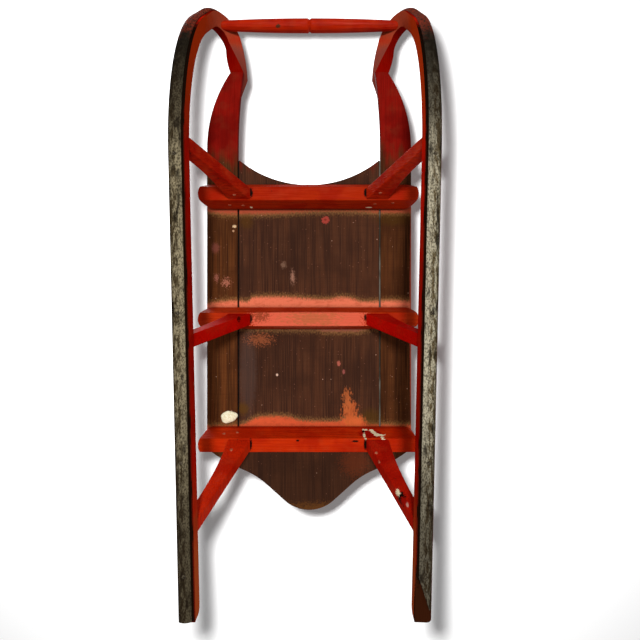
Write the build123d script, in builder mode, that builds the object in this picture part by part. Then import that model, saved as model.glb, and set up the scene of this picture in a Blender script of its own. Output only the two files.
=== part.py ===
"""Child's snow sled with bentwood runners: three-board deck, bevelled cleats, splayed knees.

Forward is -Y, up is +Z, and the floor under the iron shoes is Z = 0. Left is +X, the rider's left.
"""

import os
from math import radians, sin, cos, tan

from build123d import *

# Overall
HALF_LENGTH = 431.0        # from mid-length to the curl's nose, and to the runner's tail
DECK_UNDERSIDE = 165.0     # height of the deck's underside
DECK_THICK = 12.0
DECK_HALF_WIDTH = 160.5
EDGE_SOFT = 1.2            # worn round along the boards' edges

# Runners: steam-bent bars that toe in towards the tail
RUNNER_WIDTH = 20.6
RUNNER_DEPTH = 22.0
RUNNER_STANCE = 312.2      # centre to centre at mid-length
RUNNER_TOE_IN = 1.31       # degrees
TAIL_ROUND = 9.0           # rounding of the runner's upper tail corner
TAIL_CORNER = 5.0          # rounding of its upright tail corners

# Curl: a sweep off the floor, a lean inwards and a hook back over the horn, radii to the shoe's outer face
SWEEP_REACH = 277.7        # from where the bar leaves the floor to the curl's nose
SWEEP_RADIUS = 291.0
SWEEP_TURN = 55.6          # degrees
LEAN_RADIUS = 160.0
LEAN_TURN = 14.8           # degrees
LEAN_AIM = 120.0           # degrees round from the bar's upper face, inwards
HOOK_RADIUS = 42.6
HOOK_TURN = 140.3          # degrees
HOOK_AIM = 33.4            # degrees round from the bar's upper face, inwards
ARM_LENGTH = 64.2          # straight arm from the hook to the horn's tip
ARM_TWIST = 58.9           # degrees, to lie flat on the horn
ARM_SECTIONS = 5
ARM_LAP = 36.0             # the arm's tapered end on the horn
ARM_LAP_THICK = 6.0
ARM_LAP_SHIFT = 7.0        # the lap bears outwards as the horn widens

# Iron shoes: half-oval straps, the left one torn at its tail
SHOE_WIDTH = 16.0
SHOE_THICK = 4.0
SHOE_EDGE = 1.6            # thickness left at the half-oval's edges
SHOE_INSET = 0.6           # from the runner's outer face
SHOE_HOOK_TURN = 75.0      # degrees of the hook that the shoe covers
SHOE_TAIL_GAP = 1.5        # the shoe stops short of the runner's tail
TORN_LENGTH = 56.0         # from the runner's tail to where the left shoe's inner edge is torn
TORN_END = 17.0            # from the runner's tail to the tip of the sliver that is left
TORN_SLIVER = 2.5          # width of that tip

# Deck boards in plan
CENTRE_HALF_WIDTH = 110.0
BOARD_GAP = 2.3
SCALLOP_RADIUS = 175.0
SCALLOP_SETBACK = 20.2     # from the front cleat's middle to the scallop's deepest point
HORN_LENGTH = 120.0        # tapering part of each side board
HORN_SETBACK = 108.2       # from the curl's nose to the horn's tip
HORN_TIP_INNER = 103.4
HORN_TIP_WIDTH = 20.0
TAIL_SETBACK = 65.0        # from the runner's tail to the deck's tip
TAIL_DEPTH = 96.5          # from the deck's tip to where the sawn tail begins
TAIL_TIP_RADIUS = 57.0
TAIL_FLANK_ANGLE = 42.0    # degrees from straight across
TAIL_FLANK_LENGTH = 37.7
TAIL_COVE_RADIUS = 126.0
TAIL_COVE_TURN = 20.0      # degrees

# Cleats: name, steps ahead of the rear cleat, width against the deck, how far the knee's foot rakes back
CLEAT_OVERHANG = 113.2     # from the rear cleat's middle to the deck's tip
CLEAT_STEP = 0.4383        # share of the half length
CLEAT_HEIGHT = 35.0
CLEAT_HALF_LENGTH = 166.0
CLEAT_FLAT = 20.0          # width of the bottom flat
CLEAT_CHEEK = 9.0          # upright side above the bevel
CLEAT_SOFT = 1.5           # worn round along the bottom's edges
CLEATS = [
    ("front", 2, 37.0, -45.5),
    ("middle", 1, 33.0, 20.0),
    ("rear", 0, 37.0, 69.7),
]

# Knees
KNEE_TOP_INNER = 87.0
KNEE_TOP_WIDTH = 33.5
KNEE_THICK = 17.5
KNEE_WAIST = 5.0           # hollow of the outer edge
KNEE_SOFT = 1.5
KNEE_FOOT_INSET = 0.6      # the foot keeps inside the runner's sides

# Cross bar: turned spindle let into the curls
BAR_HOOK_TURN = 75.0       # degrees round the hook where it is let in
BAR_END_RADIUS = 7.3
BAR_BELLY_RADIUS = 11.0
BAR_GROOVE_RADIUS = 9.2
BAR_GROOVE_WIDTH = 6.0
BAR_TENON_RADIUS = 5.0
BAR_TENON_DEPTH = 11.0
BAR_TENON_CLEARANCE = 0.1

# Derived places
DECK_TOP = DECK_UNDERSIDE + DECK_THICK
CLEAT_BOTTOM = DECK_UNDERSIDE - CLEAT_HEIGHT
RUNNER_TOP = SHOE_THICK + RUNNER_DEPTH
BAR_CORE = SHOE_THICK + RUNNER_DEPTH / 2
SWEEP_START = -HALF_LENGTH + SWEEP_REACH
TAIL_TIP = HALF_LENGTH - TAIL_SETBACK
REAR_CLEAT = TAIL_TIP - CLEAT_OVERHANG
FRONT_CLEAT = REAR_CLEAT - 2 * CLEAT_STEP * HALF_LENGTH
HORN_TIP = -HALF_LENGTH + HORN_SETBACK
HORN_START = HORN_TIP + HORN_LENGTH
SCALLOP_DEEPEST = FRONT_CLEAT - SCALLOP_SETBACK
TOE = radians(RUNNER_TOE_IN)

# Frame of the left runner: local Y runs along it, local X points outwards
RUNNER_FRAME = Plane(origin=(RUNNER_STANCE / 2, 0, 0), x_dir=(cos(TOE), sin(TOE), 0), z_dir=(0, 0, 1))
SIDE_VIEW = Plane(origin=RUNNER_FRAME.origin, x_dir=RUNNER_FRAME.y_dir, z_dir=RUNNER_FRAME.x_dir)
VIEW_DEPTH = 2 * HALF_LENGTH


def runner_centre(y):
    """Distance of the left runner's centre line from the sled's middle plane at y."""
    return RUNNER_STANCE / 2 - y * tan(TOE)


def sweep_edge(depth, start_y):
    """Draw the bar's edge that lies depth inside the shoe's outer face, from start_y up the sweep."""
    floor_run = Line((start_y, depth), (SWEEP_START, depth))
    return JernArc(floor_run @ 1, (-1, 0), SWEEP_RADIUS - depth, -SWEEP_TURN)


def carried(plane, axis, angle):
    """Return the plane carried round an axis by an angle in degrees."""
    origin = axis.position + (plane.origin - axis.position).rotate(axis, angle)
    return Plane(origin, plane.x_dir.rotate(axis, angle), plane.z_dir.rotate(axis, angle))


def bend_axis(plane, radius, aim):
    """Return a bend's axis: its centre lies radius from the section's floor, aim degrees from upright."""
    towards = plane.y_dir * cos(radians(aim)) - plane.x_dir * sin(radians(aim))
    return Axis(plane.origin + towards * radius, plane.z_dir.cross(towards))


def sweep_station(turn):
    """Return the sweep's section plane after turn degrees, its origin in the bar's core."""
    plane = carried(SWEEP_FOOT, bend_axis(SWEEP_FOOT, SWEEP_RADIUS, 0), turn)
    return Plane(plane.origin + plane.y_dir * BAR_CORE, plane.x_dir, plane.z_dir)


def curl_station(lean, hook):
    """Return the curl's section plane: origin in the bar's core, X outwards, Y to its hollow side."""
    plane = carried(SWEEP_END, bend_axis(SWEEP_END, LEAN_RADIUS, LEAN_AIM), lean)
    plane = carried(plane, bend_axis(plane, HOOK_RADIUS, HOOK_AIM), hook)
    return Plane(plane.origin + plane.y_dir * BAR_CORE, plane.x_dir, plane.z_dir)


def arm_station(share):
    """Return the arm's section plane at a share of its length, twisted by the same share."""
    root = curl_station(LEAN_TURN, HOOK_TURN)
    along = Plane(root.origin + root.z_dir * ARM_LENGTH * share, root.x_dir, root.z_dir)
    return carried(along, Axis(along.origin, along.z_dir), ARM_TWIST * share)


def curl_path(hook_turn):
    """Draw the bar's core through the lean and hook_turn degrees of the hook."""
    root, leaning, leant = (curl_station(LEAN_TURN * share, 0).origin for share in (0, 0.5, 1))
    ThreePointArc(root, leaning, leant)
    ThreePointArc(leant, *(curl_station(LEAN_TURN, hook_turn * share).origin for share in (0.5, 1)))


# Sections: where the sweep leaves the floor, where it ends, and where the arm runs out on the horn
SWEEP_FOOT = Plane(
    RUNNER_FRAME.origin + RUNNER_FRAME.y_dir * SWEEP_START, RUNNER_FRAME.x_dir, -RUNNER_FRAME.y_dir
)
SWEEP_END = carried(SWEEP_FOOT, bend_axis(SWEEP_FOOT, SWEEP_RADIUS, 0), SWEEP_TURN)
LAP_END_X = HORN_TIP_INNER + HORN_TIP_WIDTH / 2 + ARM_LAP_SHIFT
LAP_END = Plane((LAP_END_X, HORN_TIP + ARM_LAP, DECK_TOP), (1, 0, 0), (0, 1, 0))


os.makedirs("parts", exist_ok=True)

# Deck: the three boards share one sawn tail
with BuildSketch() as tail_plan:
    with BuildLine():
        tip = JernArc((0, TAIL_TIP), (1, 0), TAIL_TIP_RADIUS, -TAIL_FLANK_ANGLE)
        flank = Line(tip @ 1, (tip @ 1) + (tip % 1) * TAIL_FLANK_LENGTH)
        cove = JernArc(flank @ 1, flank % 1, TAIL_COVE_RADIUS, TAIL_COVE_TURN)
        shoulder = TangentArc(cove @ 1, (DECK_HALF_WIDTH, TAIL_TIP - TAIL_DEPTH), tangent=cove % 1)
        Polyline(shoulder @ 1, (DECK_HALF_WIDTH, HORN_TIP), (0, HORN_TIP))
        mirror(about=Plane.YZ)
    make_face()

with BuildPart() as deck_board_centre:
    with BuildSketch(Plane.XY.offset(DECK_UNDERSIDE)):
        add(tail_plan.sketch)
        Rectangle(2 * CENTRE_HALF_WIDTH, VIEW_DEPTH, mode=Mode.INTERSECT)
        with Locations((0, SCALLOP_DEEPEST - SCALLOP_RADIUS)):
            Circle(SCALLOP_RADIUS, mode=Mode.SUBTRACT)
    extrude(amount=DECK_THICK)
    rim = deck_board_centre.edges().group_by(Axis.Z)
    fillet(rim[0] + rim[-1], EDGE_SOFT)

with BuildPart() as deck_board_left:
    with BuildSketch(Plane.XY.offset(DECK_UNDERSIDE)):
        with BuildLine():
            seam_x = CENTRE_HALF_WIDTH + BOARD_GAP
            seam = Line((seam_x, TAIL_TIP), (seam_x, HORN_START))
            hollow = TangentArc(seam @ 1, (HORN_TIP_INNER, HORN_TIP), tangent=(0, -1))
            side = Line((DECK_HALF_WIDTH, TAIL_TIP), (DECK_HALF_WIDTH, HORN_START))
            bulge = TangentArc(side @ 1, (HORN_TIP_INNER + HORN_TIP_WIDTH, HORN_TIP), tangent=(0, -1))
            Line(hollow @ 1, bulge @ 1)
            Line(seam @ 0, side @ 0)
        make_face()
        add(tail_plan.sketch, mode=Mode.INTERSECT)
    extrude(amount=DECK_THICK)
    rim = deck_board_left.edges().group_by(Axis.Z)
    fillet(rim[0] + rim[-1], EDGE_SOFT)
with BuildPart() as deck_board_right:
    mirror(deck_board_left.part, about=Plane.YZ)

for name, board in (("centre", deck_board_centre), ("left", deck_board_left), ("right", deck_board_right)):
    board.part.label = f"deck_board_{name}"
    export_step(board.part, f"parts/deck_board_{name}.step")

# Cleats: bevelled bars with round noses in plan
for name, steps, width, rake in CLEATS:
    centre_y = REAR_CLEAT - steps * CLEAT_STEP * HALF_LENGTH
    with BuildPart() as cleat:
        with BuildSketch(Plane.YZ.offset(-CLEAT_HALF_LENGTH)):
            with BuildLine():
                Polyline(
                    (centre_y - width / 2, DECK_UNDERSIDE),
                    (centre_y - width / 2, DECK_UNDERSIDE - CLEAT_CHEEK),
                    (centre_y - CLEAT_FLAT / 2, CLEAT_BOTTOM),
                    (centre_y + CLEAT_FLAT / 2, CLEAT_BOTTOM),
                    (centre_y + width / 2, DECK_UNDERSIDE - CLEAT_CHEEK),
                    (centre_y + width / 2, DECK_UNDERSIDE),
                    close=True,
                )
            make_face()
        extrude(amount=2 * CLEAT_HALF_LENGTH)
        with BuildSketch(Plane.XY.offset(CLEAT_BOTTOM)):
            with Locations((0, centre_y)):
                SlotOverall(2 * CLEAT_HALF_LENGTH, width)
        extrude(amount=CLEAT_HEIGHT, mode=Mode.INTERSECT)
        fillet(cleat.edges().group_by(Axis.Z)[0], CLEAT_SOFT)
    cleat.part.label = f"cleat_{name}"
    export_step(cleat.part, f"parts/cleat_{name}.step")

# Runner: a flat sweep up from the floor, then the leaning, hooked and twisted curl lofted onto its end
with BuildPart() as bent_bar:
    with BuildSketch(SIDE_VIEW):
        with BuildLine():
            outer = sweep_edge(SHOE_THICK, HALF_LENGTH)
            inner = sweep_edge(RUNNER_TOP, HALF_LENGTH - TAIL_ROUND)
            Line(outer @ 1, inner @ 1)
            tail = Line((HALF_LENGTH, SHOE_THICK), (HALF_LENGTH, RUNNER_TOP - TAIL_ROUND))
            JernArc(tail @ 1, (0, 1), TAIL_ROUND, 90)
        make_face()
    extrude(amount=RUNNER_WIDTH / 2, both=True)
    fillet(bent_bar.edges().filter_by(Axis.Z).group_by(Axis.Y)[-1], TAIL_CORNER)
    with BuildLine() as core:
        curl_path(HOOK_TURN)
    with BuildSketch(curl_station(0, 0)):
        Rectangle(RUNNER_WIDTH, RUNNER_DEPTH)
    sweep(path=core.wires()[0])
    for step in range(ARM_SECTIONS):
        with BuildSketch(arm_station(step / (ARM_SECTIONS - 1))):
            Rectangle(RUNNER_WIDTH, RUNNER_DEPTH)
    with BuildSketch(LAP_END):
        Rectangle(RUNNER_WIDTH, 2 * ARM_LAP_THICK)
    loft(ruled=True)
    with BuildSketch(Plane.XY.offset(DECK_TOP)):
        with Locations((LAP_END_X, HORN_TIP)):
            Rectangle(DECK_HALF_WIDTH, 2 * ARM_LAP, align=(Align.CENTER, Align.MIN))
    extrude(amount=-DECK_THICK, mode=Mode.SUBTRACT)

# The bar's axis runs straight across, through the middle of the hook's inner face
bar_seat_plane = curl_station(LEAN_TURN, BAR_HOOK_TURN)
bar_seat_point = bar_seat_plane.origin - bar_seat_plane.x_dir * RUNNER_WIDTH / 2
bar_axis = Axis((0, bar_seat_point.Y, bar_seat_point.Z), (1, 0, 0))
bar_hits = sorted(point.X for point, normal in bent_bar.part.find_intersection_points(bar_axis))
bar_seat = bar_hits[0]
bar_blank = (bar_hits[0] + bar_hits[-1]) / 2

with BuildPart() as runner_left:
    add(bent_bar.part)
    with BuildSketch(Plane.YZ.offset(bar_seat + BAR_TENON_DEPTH)):
        with Locations((bar_seat_point.Y, bar_seat_point.Z)):
            Circle(BAR_TENON_RADIUS + BAR_TENON_CLEARANCE)
    extrude(amount=-2 * BAR_TENON_DEPTH, mode=Mode.SUBTRACT)
with BuildPart() as runner_right:
    mirror(runner_left.part, about=Plane.YZ)
for side, runner in (("left", runner_left), ("right", runner_right)):
    runner.part.label = f"runner_{side}"
    export_step(runner.part, f"parts/runner_{side}.step")

# Knees: front outline and side outline sawn from one block, left first and the right mirrored
for name, steps, width, rake in CLEATS:
    centre_y = REAR_CLEAT - steps * CLEAT_STEP * HALF_LENGTH
    foot_y = centre_y + rake
    foot_x = runner_centre(foot_y)
    foot_half = RUNNER_WIDTH / 2 - KNEE_FOOT_INSET
    with BuildPart() as knee_left:
        with BuildSketch(Plane.XZ):
            with BuildLine():
                top = Line((KNEE_TOP_INNER, CLEAT_BOTTOM), (KNEE_TOP_INNER + KNEE_TOP_WIDTH, CLEAT_BOTTOM))
                outer = SagittaArc(top @ 1, (foot_x + foot_half, RUNNER_TOP), -KNEE_WAIST)
                foot = Line(outer @ 1, (foot_x - foot_half, RUNNER_TOP))
                Line(foot @ 1, top @ 0)
            make_face()
        extrude(amount=VIEW_DEPTH, both=True)
        with BuildSketch(Plane.YZ):
            with BuildLine():
                Polyline(
                    (centre_y - KNEE_THICK / 2, CLEAT_BOTTOM),
                    (centre_y + KNEE_THICK / 2, CLEAT_BOTTOM),
                    (foot_y + KNEE_THICK / 2, RUNNER_TOP),
                    (foot_y - KNEE_THICK / 2, RUNNER_TOP),
                    close=True,
                )
            make_face()
        extrude(amount=VIEW_DEPTH, both=True, mode=Mode.INTERSECT)
        arrises = knee_left.edges().group_by(Axis.Z)[1:-1]
        fillet([edge for group in arrises for edge in group], KNEE_SOFT)
        add(bent_bar.part, mode=Mode.SUBTRACT)
    with BuildPart() as knee_right:
        mirror(knee_left.part, about=Plane.YZ)
    for side, knee in (("left", knee_left), ("right", knee_right)):
        knee.part.label = f"knee_{name}_{side}"
        export_step(knee.part, f"parts/knee_{name}_{side}.step")

# Shoe: a half-oval strap under the bent bar, narrower and set towards its outer face
shoe_outer = RUNNER_WIDTH / 2 - SHOE_INSET
shoe_inner = shoe_outer - SHOE_WIDTH
shoe_tail = HALF_LENGTH - SHOE_TAIL_GAP
with BuildPart() as shoe_strap:
    with BuildLine() as core:
        tail_point = RUNNER_FRAME.from_local_coords((0, shoe_tail, BAR_CORE))
        Line(tail_point, sweep_station(0).origin)
        ThreePointArc(*(sweep_station(SWEEP_TURN * share).origin for share in (0, 0.5, 1)))
        curl_path(SHOE_HOOK_TURN)
    with BuildSketch(Plane(tail_point, RUNNER_FRAME.x_dir, -RUNNER_FRAME.y_dir)):
        with BuildLine():
            crown = ThreePointArc(
                (shoe_inner, SHOE_THICK - SHOE_EDGE - BAR_CORE),
                ((shoe_inner + shoe_outer) / 2, -BAR_CORE),
                (shoe_outer, SHOE_THICK - SHOE_EDGE - BAR_CORE),
            )
            seat_level = SHOE_THICK - BAR_CORE
            Polyline(crown @ 1, (shoe_outer, seat_level), (shoe_inner, seat_level), crown @ 0)
        make_face()
    sweep(path=core.wires()[0])
with BuildPart() as shoe_left:
    add(shoe_strap.part)
    with BuildSketch(RUNNER_FRAME):
        with BuildLine():
            Polyline(
                (shoe_inner, HALF_LENGTH - TORN_LENGTH),
                (shoe_outer - TORN_SLIVER, HALF_LENGTH - TORN_END),
                (shoe_outer, HALF_LENGTH - TORN_END),
                (shoe_outer, HALF_LENGTH),
                (shoe_inner, HALF_LENGTH),
                close=True,
            )
        make_face()
    extrude(amount=SHOE_THICK, mode=Mode.SUBTRACT)
with BuildPart() as shoe_right:
    mirror(shoe_strap.part, about=Plane.YZ)
for side, shoe in (("left", shoe_left), ("right", shoe_right)):
    shoe.part.label = f"shoe_{side}"
    export_step(shoe.part, f"parts/shoe_{side}.step")

# Cross bar: a turned spindle, its shoulders scribed to the curls and its tenons let into them
with BuildPart() as spindle:
    with BuildSketch(Plane(origin=bar_axis.position, x_dir=(1, 0, 0), z_dir=(0, 0, 1))):
        with BuildLine():
            groove = Line((0, BAR_GROOVE_RADIUS), (BAR_GROOVE_WIDTH / 2, BAR_BELLY_RADIUS))
            belly = TangentArc(groove @ 1, (bar_blank, BAR_END_RADIUS), tangent=(1, 0))
            Polyline(belly @ 1, (bar_blank, 0), (0, 0), groove @ 0)
        make_face()
        mirror(about=Plane.YZ)
    revolve(axis=bar_axis)
    add(bent_bar.part, mode=Mode.SUBTRACT)
    mirror(bent_bar.part, about=Plane.YZ, mode=Mode.SUBTRACT)
with BuildPart() as cross_bar:
    add(spindle.solids().sort_by(SortBy.VOLUME)[-1])
    with BuildSketch(Plane.YZ):
        with Locations((bar_seat_point.Y, bar_seat_point.Z)):
            Circle(BAR_TENON_RADIUS)
    extrude(amount=bar_seat + BAR_TENON_DEPTH - BAR_TENON_CLEARANCE, both=True)
cross_bar.part.label = "cross_bar"
export_step(cross_bar.part, "parts/cross_bar.step")
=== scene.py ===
"""Looks of an old child's snow sled of bent wood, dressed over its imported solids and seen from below.

Places and sizes are millimetres in the part's own frame until they go into a mesh: +Z is up and the curled
fronts of the runners point to -Y. The main camera looks straight up at the underside, with the curls at the
top of the picture.
"""

from __future__ import annotations

import logging
import math
from dataclasses import dataclass
from enum import Enum

import bmesh
import bpy
import numpy as np
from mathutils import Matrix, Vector


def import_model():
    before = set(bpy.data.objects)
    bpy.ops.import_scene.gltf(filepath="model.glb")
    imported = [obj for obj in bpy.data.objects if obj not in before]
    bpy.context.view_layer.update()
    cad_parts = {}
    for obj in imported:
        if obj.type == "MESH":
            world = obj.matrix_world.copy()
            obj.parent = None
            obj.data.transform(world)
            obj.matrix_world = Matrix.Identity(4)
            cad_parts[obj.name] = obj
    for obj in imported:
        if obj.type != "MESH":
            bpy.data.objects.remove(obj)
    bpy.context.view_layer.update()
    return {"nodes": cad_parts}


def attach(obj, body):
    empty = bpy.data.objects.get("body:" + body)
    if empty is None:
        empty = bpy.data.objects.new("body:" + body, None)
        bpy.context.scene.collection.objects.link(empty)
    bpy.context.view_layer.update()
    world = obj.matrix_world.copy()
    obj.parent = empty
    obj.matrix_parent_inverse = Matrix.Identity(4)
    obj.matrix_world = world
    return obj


log = logging.getLogger("sled")

MM = 0.001

# Points of a new mesh that lie nearer to each other than this, in metres, become one
MERGE_WITHIN = 1e-7

# Camera: focal length and principal point in pixels of the square picture, and where it stands
PICTURE = 640
FOCAL = 487.0
PRINCIPAL = (325.0, 285.0)
SENSOR = 36.0
STAND = Vector((25.0, 12.3, -600.0))

# Levels and lines of the sled that its marks are placed by
DECK_UNDERSIDE = 165.0
DECK_TOP = 177.0
RUNNER_SOLE = 4.0
FRONT_CLEAT_REAR = -106.5
MIDDLE_CLEAT_FRONT = 47.4
MIDDLE_CLEAT_REAR = 80.4
REAR_CLEAT_FRONT = 234.3
CLEAT_MIDDLES = (-125.0, 63.9, 252.8)
HORN_ROOT = -190.0
SEAM = (-112.3, -110.0)
SEAM_ENDS = (-183.0, 296.0)

# Straight down and straight up
DOWN = (0.0, 0.0, -1.0)
UP = (0.0, 0.0, 1.0)

# Colours of worn paint and filler, of dark bare wood in chips and of painted shade at the knees' ends, and
# of dirt with painted shade in corners
SALMON = "#E8664A"
CREAM = "#F0E2BC"
DARK_CHIP_AND_SHADE = "#160804"
DIRT_AND_SHADE = "#1E0503"

Triple = tuple[float, float, float]
Span = tuple[float, float]
Seat = tuple[Vector, Vector]
Nodes = dict[str, bpy.types.Object]
Socket = bpy.types.NodeSocket
Layer = tuple[Socket, "str | Socket"]


class Axis(Enum):
    """Directions of the part's frame, by their place in a vector."""

    X = 0
    Y = 1
    Z = 2


class Lighting(Enum):
    """What a lamp lights, as the link state of the sheet behind the sled."""

    ONLY_SHEET = "INCLUDE"
    ALL_BUT_SHEET = "EXCLUDE"


def linear(tone: str) -> tuple[float, float, float, float]:
    """Turn an sRGB hex colour into linear RGBA.

    Args:
        tone: colour as #RRGGBB.

    Returns:
        Linear red, green, blue and an alpha of 1.
    """
    parts = [int(tone[i : i + 2], 16) / 255 for i in (1, 3, 5)]
    red, green, blue = [c / 12.92 if c <= 0.04045 else ((c + 0.055) / 1.055) ** 2.4 for c in parts]
    return red, green, blue, 1.0


def bare_material(name: str) -> bpy.types.Material:
    """Make a material whose node tree is empty.

    Args:
        name: the material's name.

    Returns:
        The material.
    """
    material = bpy.data.materials.new(name)
    material.use_nodes = True
    material.node_tree.nodes.clear()
    return material


def add(
    tree: bpy.types.NodeTree, kind: str, ports: dict | None = None, **settings: object
) -> bpy.types.Node:
    """Add a node with its settings and links.

    Args:
        tree: node tree that takes the node.
        kind: the node's type name.
        ports: value or source socket for each input, by the input's name or number.
        settings: properties of the node itself.

    Returns:
        The new node.
    """
    node = tree.nodes.new(kind)
    for key, value in settings.items():
        setattr(node, key, value)
    for port, value in (ports or {}).items():
        if isinstance(value, bpy.types.NodeSocket):
            tree.links.new(value, node.inputs[port])
        else:
            node.inputs[port].default_value = value
    return node


class Surface:
    """One material's node tree, whose masks are measured in millimetres on the part."""

    def __init__(self, name: str) -> None:
        """Start an empty tree and read the point in millimetres and the face's direction.

        Args:
            name: the material's name.
        """
        self.material = bare_material(name)
        self.tree = self.material.node_tree
        metres = self.add("ShaderNodeTexCoord").outputs["Object"]
        scaled = self.add("ShaderNodeVectorMath", {0: metres, "Scale": 1 / MM}, operation="SCALE")
        self.place = scaled.outputs[0]
        self.x, self.y, self.z = self.add("ShaderNodeSeparateXYZ", {0: self.place}).outputs
        self.normal = self.add("ShaderNodeNewGeometry").outputs["Normal"]

    def add(self, kind: str, ports: dict | None = None, **settings: object) -> bpy.types.Node:
        """Add a node to this tree."""
        return add(self.tree, kind, ports, **settings)

    def ramp(self, value: Socket, zero: float, one: float) -> Socket:
        """Mask smoothstep(zero, one, value), where zero may be the larger one."""
        ports = {"Value": value, "From Min": zero, "From Max": one}
        return self.add("ShaderNodeMapRange", ports, interpolation_type="SMOOTHSTEP").outputs[0]

    def blotch(
        self, size: Triple, low: float, high: float, detail: float = 3.0, shift: float = 0.0
    ) -> Socket:
        """Cloudy mask: smoothstep(low, high, noise(place / size)).

        Args:
            size: the clouds' size in millimetres along X, Y and Z.
            low: noise level where the mask leaves 0.
            high: noise level where the mask reaches 1.
            detail: octaves of finer cloud.
            shift: moves the pattern to another part of the noise, in clouds.

        Returns:
            The mask's socket.
        """
        ports = {0: self.place, "Location": (shift,) * 3, "Scale": tuple(1 / s for s in size)}
        cells = self.add("ShaderNodeMapping", ports).outputs[0]
        cloud = self.add("ShaderNodeTexNoise", {"Vector": cells, "Scale": 1.0, "Detail": detail})
        return self.ramp(cloud.outputs[0], low, high)

    def torn(
        self, value: Socket, zero: float, one: float, ragged: float, size: Triple = (4.0,) * 3
    ) -> Socket:
        """Mask with a torn border: smoothstep(zero, one, value + ragged * (noise - 1/2)).

        Args:
            value: socket that grows or falls across the border.
            zero: value where the mask is 0.
            one: value where the mask is 1.
            ragged: how far the noise moves the border, in the value's own unit.
            size: the tears' size in millimetres.

        Returns:
            The mask's socket.
        """
        cloud = self.blotch(size, 0.0, 1.0, detail=4.0)
        wander = self.add("ShaderNodeMath", {0: cloud, 1: ragged, 2: value}, operation="MULTIPLY_ADD")
        return self.ramp(wander.outputs[0], zero + ragged / 2, one + ragged / 2)

    def patch(self, mark: Mark) -> Socket:
        """Torn ellipsoid of a mark: its border lies where |(place - centre) / radii| is 1.

        Args:
            mark: the mark. Unless it gives the size of its tears, they are 0.4 of its least radius, and
                0.8 mm or more.

        Returns:
            The mask's socket.
        """
        ports = {0: self.place, "Location": mark.centre, "Scale": mark.radii}
        local = self.add("ShaderNodeMapping", ports, vector_type="TEXTURE").outputs[0]
        reach = self.add("ShaderNodeVectorMath", {0: local}, operation="LENGTH").outputs["Value"]
        tears = mark.tears or (max(0.8, min(mark.radii) * 0.4),) * 3
        return self.torn(reach, 1 + mark.soft, 1 - mark.soft, mark.ragged, tears)

    def marked(self, marks: tuple[Mark, ...]) -> list[Layer]:
        """Layers of a finish's marks, each as dense as its cover."""
        return [(self.both(self.patch(mark), mark.cover), mark.tone) for mark in marks]

    def facing(self, direction: Triple, low: float = 0.3, high: float = 0.6) -> Socket:
        """Where the face looks along a direction: smoothstep(low, high, normal . direction)."""
        dot = self.add("ShaderNodeVectorMath", {0: self.normal, 1: direction}, operation="DOT_PRODUCT")
        return self.ramp(dot.outputs["Value"], low, high)

    def turned(self, zero: float, one: float) -> Socket:
        """Side that a face looks to: smoothstep(zero, one, x * normal's x).

        Args:
            zero: product where the mask is 0. It is negative on faces that look towards the middle line.
            one: product where the mask is 1.

        Returns:
            The mask's socket.
        """
        across = self.add("ShaderNodeSeparateXYZ", {0: self.normal}).outputs[0]
        side = self.add("ShaderNodeMath", {0: self.x, 1: across}, operation="MULTIPLY").outputs[0]
        return self.ramp(side, zero, one)

    def edges(self, radius: float) -> Socket:
        """Where an edge is within a radius in millimetres: the rounded normal leaves the face's own.

        The mask is 0 where the dot product of the two is 0.99 or more, and 1 where it is 0.86 or less.

        Args:
            radius: reach of the edge in millimetres.

        Returns:
            The mask's socket.
        """
        rounded = self.add("ShaderNodeBevel", {"Radius": radius * MM}, samples=6).outputs[0]
        dot = self.add("ShaderNodeVectorMath", {0: self.normal, 1: rounded}, operation="DOT_PRODUCT")
        return self.ramp(dot.outputs["Value"], 0.99, 0.86)

    def shade_and_grime(self, reach: float) -> Socket:
        """Where dirt lodges and shade is painted: 1 in corners that are shut in within a reach in
        millimetres.
        """
        shut = self.add("ShaderNodeAmbientOcclusion", {"Distance": reach * MM}, samples=8).outputs["AO"]
        return self.ramp(shut, 0.8, 0.2)

    def both(self, *masks: Socket | float) -> Socket:
        """Where every mask is 1: their product.

        Args:
            masks: masks or plain shares.

        Returns:
            The product's socket.
        """
        result = masks[0]
        for mask in masks[1:]:
            result = self.add("ShaderNodeMath", {0: result, 1: mask}, operation="MULTIPLY").outputs[0]
        return result

    def layered(self, ground: str | Socket, layers: list[Layer]) -> Socket:
        """Lay colours over a ground, each where its mask is 1.

        Args:
            ground: hex colour or colour socket underneath.
            layers: pairs of mask and hex colour or colour socket, from the lowest up.

        Returns:
            The colour's socket.
        """
        for mask, tone in layers:
            below, above = (linear(t) if isinstance(t, str) else t for t in (ground, tone))
            mix = self.add("ShaderNodeMix", {0: mask, 6: below, 7: above}, data_type="RGBA")
            ground = mix.outputs[2]
        return ground

    def close(
        self, colour: Socket, rough: float, height: Socket, depth: float, soft: float, **sockets: float
    ) -> bpy.types.Material:
        """End the tree in a shader with softened edges and a bumped surface.

        Args:
            colour: base colour's socket.
            rough: roughness.
            height: socket of the surface's height, from 0 to 1.
            depth: what a height of 1 measures, in millimetres.
            soft: radius of the edges' rounding, in millimetres.
            sockets: other shader inputs, by name with _ for a space.

        Returns:
            The material.
        """
        rounded = self.add("ShaderNodeBevel", {"Radius": soft * MM}, samples=6).outputs[0]
        ports = {"Height": height, "Distance": depth * MM, "Normal": rounded}
        bump = self.add("ShaderNodeBump", ports).outputs[0]
        ports = {"Base Color": colour, "Roughness": rough, "Normal": bump}
        ports |= {name.replace("_", " "): value for name, value in sockets.items()}
        shader = self.add("ShaderNodeBsdfPrincipled", ports).outputs[0]
        self.add("ShaderNodeOutputMaterial", {"Surface": shader})
        return self.material


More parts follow.
